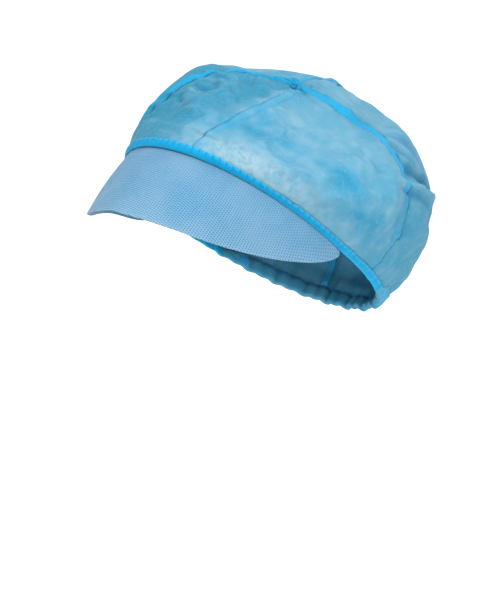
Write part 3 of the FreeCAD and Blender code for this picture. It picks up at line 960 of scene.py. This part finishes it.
print("stage: seam edges")
allowance = {"width": 5.5 * mm, "thickness": 0.5 * mm, "start": 11 * mm, "stop": 6 * mm, "taper": 40 * mm,
             "rows": 70, "columns": 9, "pitch": 6 * mm, "gap": 0.25 * mm, "fromSeam": 0.4 * mm}


def seamEdge(number, name):
    # the turned-in edges of one seam, pressed flat inside the crown, and the row that holds them
    seam, side = math.radians(seams[name]["turn"]), seams[name]["side"]
    full = crownHeights[seamColumns[number], -1]
    surface = crown["thickness"] / 2
    rows, columns = allowance["rows"], allowance["columns"]
    inner, outer, uv, threadPoints, threadNormals = [], [], [], [], []
    for height in np.linspace(allowance["start"], full - allowance["stop"], rows):
        nearby = onCrown(seam + side * 0.02, height, 0) - onCrown(seam, height, 0)
        step = max(np.linalg.norm(nearby) / 0.02, 5 * mm)
        width = allowance["width"] * min(1, (full - height) / allowance["taper"])
        width *= 1 + 0.06 * ripple(height, seam + 2.0, 9 * mm)
        for share in np.linspace(0, 1, columns):
            across = allowance["fromSeam"] + (width - allowance["fromSeam"]) * share
            lift = 0.25 * mm * share ** 3 * (1 + ripple(height, seam, 13 * mm))
            deep = surface + allowance["gap"] + lift
            outer.append(onCrown(seam + side * across / step, height, -deep))
            inner.append(onCrown(seam + side * across / step, height, -deep - allowance["thickness"]))
            uv.append((across, height))
        turn = seam + side * width / 2 / step
        point = onCrown(turn, height, -surface - 0.35 * mm - allowance["thickness"])
        threadPoints.append(point)
        threadNormals.append(unit(point - onCrown(turn, height, 0)))
    count = rows * columns
    faces = gridFaces(rows, columns)
    faces += [tuple(count + k for k in face[::-1]) for face in faces]
    edge = list(range(0, count, columns)) + list(range(count - columns + 1, count))
    edge += list(range(count - columns - 1, 0, -columns)) + list(range(columns - 2, 0, -1))
    faces += [(b, a, count + a, count + b) for a, b in zip(edge, edge[1:] + edge[:1])]
    layers = {key: np.full(2 * count, 0.85 if key == "double" else 0.0) for key in masks}
    sheet = newPiece("look_seam_allowance_" + name, outer + inner, faces, crownMaterial, uv + uv, layers)
    row = stitchRow("look_seam_thread_" + name, np.array(threadPoints), np.array(threadNormals),
                    allowance["pitch"])
    return sheet, row


seamPieces = {}
for number, name in enumerate(seams):
    seamPieces[name] = seamEdge(number, name)
    mount(seamPieces[name][0], "seam_allowance_" + name)
    mount(seamPieces[name][1], "seam_thread_" + name)
mount(bandPiece, "front_band")
mount(hemPiece, "back_hem")
mount(elasticPiece, "nape_elastic")
mount(bandRow, "band_stitching")
mount(hemRow, "hem_stitching")
mount(peakRow, "peak_stitching")
mount(tackLeft, "elastic_tack_left")
mount(tackRight, "elastic_tack_right")
mount(sewnEdge, "peak_sewn_edge")


def areaOf(grid):
    # area of a surface given by a grid of points
    first, second = grid[:-1, :-1], grid[1:, 1:]
    third, fourth = grid[1:, :-1], grid[:-1, 1:]
    halves = (np.cross(third - first, second - first), np.cross(second - first, fourth - first))
    return float(sum(np.linalg.norm(half, axis=-1).sum() for half in halves) / 2)


def cutSize(grid, extra=0.0):
    # width, length and area of the flat piece that a grid of points was cut as
    width = float(np.linalg.norm(np.diff(grid, axis=0), axis=-1).sum(axis=0).max()) + extra
    length = float(np.linalg.norm(np.diff(grid, axis=1), axis=-1).sum(axis=1).max()) + extra
    return width, length, areaOf(grid)


# for each panel the seam edge cut in one with it, and what it rests on
panelCuts = {
    "crown_front_panel": ("front_left", ["look_front_band"]),
    "crown_left_panel": ("back_left", ["look_front_band", "look_back_hem"]),
    "crown_back_panel": ("back_right", ["look_back_hem"]),
    "crown_right_panel": ("front_right", ["look_front_band", "look_back_hem"]),
}
for number, (node, (seam, rests)) in enumerate(panelCuts.items()):
    picked = [i % len(turns) for i in range(seamColumns[number], seamColumns[number + 1] + 1)]
    width, length, area = cutSize(plainCrown[picked], 2 * allowance["width"])
    area + allowance["width"] * length
    print(node, "cut", round(width / mm), "x", round(length / mm), "mm, area", round(area * 1e4), "cm2")


def rimLength(first, last):
    places = np.array([onCrown(turn, 3 * mm, 0) for turn in np.radians(np.linspace(first, last, 400))])
    return float(np.linalg.norm(np.diff(places, axis=0), axis=-1).sum())


bandLength = rimLength(-band["halfSpan"], band["halfSpan"])
hemLength = rimLength(*hemEnds)
print("band cut", round(band["cutWidth"] / mm, 1), "x", round(bandLength / mm), "mm, hem cut",
      round(hem["cutWidth"] / mm, 1), "x", round(hemLength / mm), "mm")

print("stage: peak")


def peakPoint(turn, share):
    along = np.degrees(turn) / peak["halfSpan"]
    bell = np.maximum(np.cos(along * math.pi / 2), 0)
    depth = peak["cornerDepth"] + (peak["depth"] - peak["cornerDepth"]) * bell ** peak["fullness"]
    tilt = np.radians(peak["tilt"] + peak["tiltGain"] * along ** 2)
    down = np.stack([np.zeros_like(tilt), -np.cos(tilt), -np.sin(tilt)], -1)
    side = outward(turn)
    normal = unit(side - down * (side * down).sum(-1, keepdims=True))
    bow = peak["bow"] * np.sin(math.pi * share) * bell
    root = rimPoint(turn) - np.array([0, 0, peak["clearance"] + peak["thickness"] / 2])
    return root + down * (depth * share)[..., None] + normal * bow[..., None]


def peakGrid(columns, rows):
    span = math.radians(peak["halfSpan"])
    return np.meshgrid(np.linspace(-span, span, columns), np.linspace(0, 1, rows), indexing="ij")


def peakPiece():
    columns, rows = 241, 41
    turn, share = peakGrid(columns, rows)
    degrees = np.degrees(turn)
    points = peakPoint(turn, share)
    normals = gridNormals(points, closed=False) * -1
    # the cut edge waves a little
    lift = ripple(degrees, 3.0, 46) * 0.7 * mm * share ** 2 + ripple(degrees, 1.0, 13) * 0.15 * mm * share ** 6
    points = points + normals * lift[..., None]
    # the far side has been bent up a little and the front pulled down
    bent = peak["farLift"] * np.exp(-((degrees + 61) / 17) ** 2)
    bent -= peak["frontDrop"] * np.exp(-((degrees + 20) / 16) ** 2)
    points[..., 2] += bent * share ** 1.5
    slope = np.radians(peak["tilt"])
    downhill = np.array([0, -math.cos(slope), -math.sin(slope)])
    flatAcross = points - (points @ downhill)[..., None] * downhill
    steps = np.linalg.norm(np.diff(flatAcross[:, rows // 2], axis=0), axis=-1)
    across = np.concatenate([[0], np.cumsum(steps)])
    across -= across[columns // 2]
    uv = np.stack([np.repeat(across, rows), (points @ downhill).ravel()], -1)
    edge = smooth(0.93, 1.0, share) * 0.8 + smooth(0.55, 1.0, share) * 0.3
    faces = gridFaces(columns, rows)
    piece = newPiece("look_peak", points.reshape(-1, 3), faces, peakMaterial, uv, {"edge": edge})
    thicken(piece, peak["thickness"])
    rounding = piece.modifiers.new("edge", "BEVEL")
    rounding.width = 0.25 * mm
    rounding.segments = 2
    rounding.limit_method = "ANGLE"
    applyModifiers(piece)
    return piece


peakLook = peakPiece()
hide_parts("peak")
# the crescent is cut with the edge that is sewn inside the band
plainPeak = peakPoint(*peakGrid(91, 21))
rootLength = float(np.linalg.norm(np.diff(plainPeak[:, 0], axis=0), axis=-1).sum())
peakWidth, peakLength = cutSize(plainPeak)[0], peak["depth"] + peak["rootHeight"]
peakArea = areaOf(plainPeak) + rootLength * peak["rootHeight"]
print("peak cut", round(peakWidth / mm), "x", round(peakLength / mm), "mm, area", round(peakArea * 1e4), "cm2")
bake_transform(peakLook)

print("stage: camera and light")
view = {"azimuth": 42, "elevation": 14, "distance": 5.0, "perUnit": 0.65 * mm, "right": 2.0 * mm,
        "up": -111.2 * mm, "sensor": 24, "frameHeight": 600}


def addCamera():
    a, e = math.radians(view["azimuth"]), math.radians(view["elevation"])
    back = Vector((math.sin(a) * math.cos(e), -math.cos(a) * math.cos(e), math.sin(e)))
    right = Vector((math.cos(a), math.sin(a), 0))
    up = back.cross(right)
    place = right * view["right"] + up * view["up"] + back * view["distance"]
    data = bpy.data.cameras.new("camera")
    data.sensor_fit = "VERTICAL"
    data.sensor_height = view["sensor"]
    data.lens = view["sensor"] * view["distance"] / (view["frameHeight"] * view["perUnit"])
    camera = bpy.data.objects.new("camera", data)
    camera.location = place
    camera.rotation_euler = back.to_track_quat("Z", "Y").to_euler()
    bpy.context.scene.collection.objects.link(camera)
    bpy.context.scene.camera = camera


def addLight(name, place, aim, size, power):
    data = bpy.data.lights.new(name, "AREA")
    data.shape = "DISK"
    data.size = size
    data.energy = power
    light = bpy.data.objects.new(name, data)
    light.location = place
    light.rotation_euler = (Vector(aim) - Vector(place)).to_track_quat("-Z", "Y").to_euler()
    bpy.context.scene.collection.objects.link(light)


def addFloor():
    size, low = 3.0, -0.30
    mesh = bpy.data.meshes.new("floor")
    corners = [(-size, -size, low), (size, -size, low), (size, size, low), (-size, size, low)]
    mesh.from_pydata(corners, [], [(0, 1, 2, 3)])
    floor = bpy.data.objects.new("floor", mesh)
    bpy.context.scene.collection.objects.link(floor)
    paint = Paint("paleFloor", roughness=0.8)
    paint.shader.inputs["Base Color"].default_value = (0.9, 0.9, 0.9, 1)
    mesh.materials.append(paint.material)


addCamera()
addFloor()
addLight("key", (0.25, -0.75, 1.25), (0, 0.02, -0.02), 0.6, 25)
addLight("fill", (1.2, -0.1, 0.15), (0, 0, -0.05), 1.2, 13)
addLight("top", (0.1, 0.35, 1.3), (0, 0.03, 0), 0.9, 8)
world = bpy.data.worlds.new("studio")
world.use_nodes = True
world.node_tree.nodes["Background"].inputs[0].default_value = (1, 1, 1, 1)
world.node_tree.nodes["Background"].inputs[1].default_value = 1.0
bpy.context.scene.world = world
bpy.context.scene.view_settings.view_transform = "Standard"
